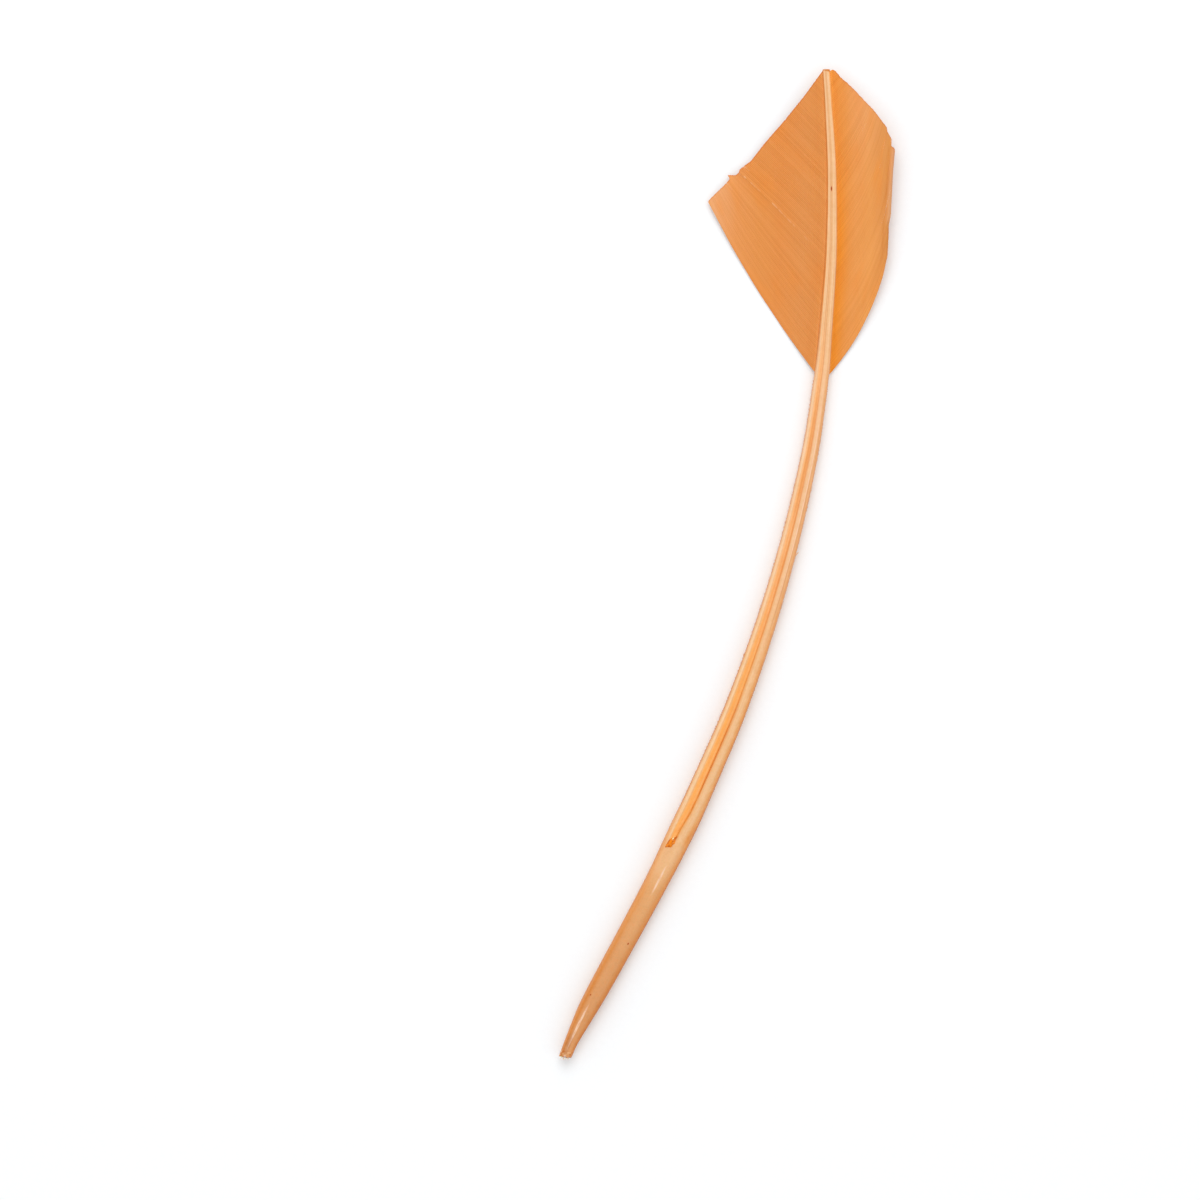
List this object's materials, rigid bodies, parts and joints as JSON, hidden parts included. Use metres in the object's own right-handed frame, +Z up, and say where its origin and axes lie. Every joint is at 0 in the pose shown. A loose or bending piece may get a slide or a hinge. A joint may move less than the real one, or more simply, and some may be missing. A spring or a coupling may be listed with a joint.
{
  "type": "turkey wing feather",
  "caption": "Orange-dyed wing feather lying groove side up: a long stripped quill and shaft with a wide and a narrow trimmed vane at its tip.",
  "frame": {"origin": "on the surface that the feather lies on, under the middle of its box", "axes": "+Y along the straight line from the quill end to the tip, +X towards the narrow vane, +Z up, on the grooved side of the shaft"},
  "size_m": [0.049, 0.266, 0.0066],
  "materials": {
    "feather": "satin, horn-like shaft and silky dyed barbs"
  },
  "bodies": {
    "root": {"feather": "feather"}
  },
  "joints": []
}
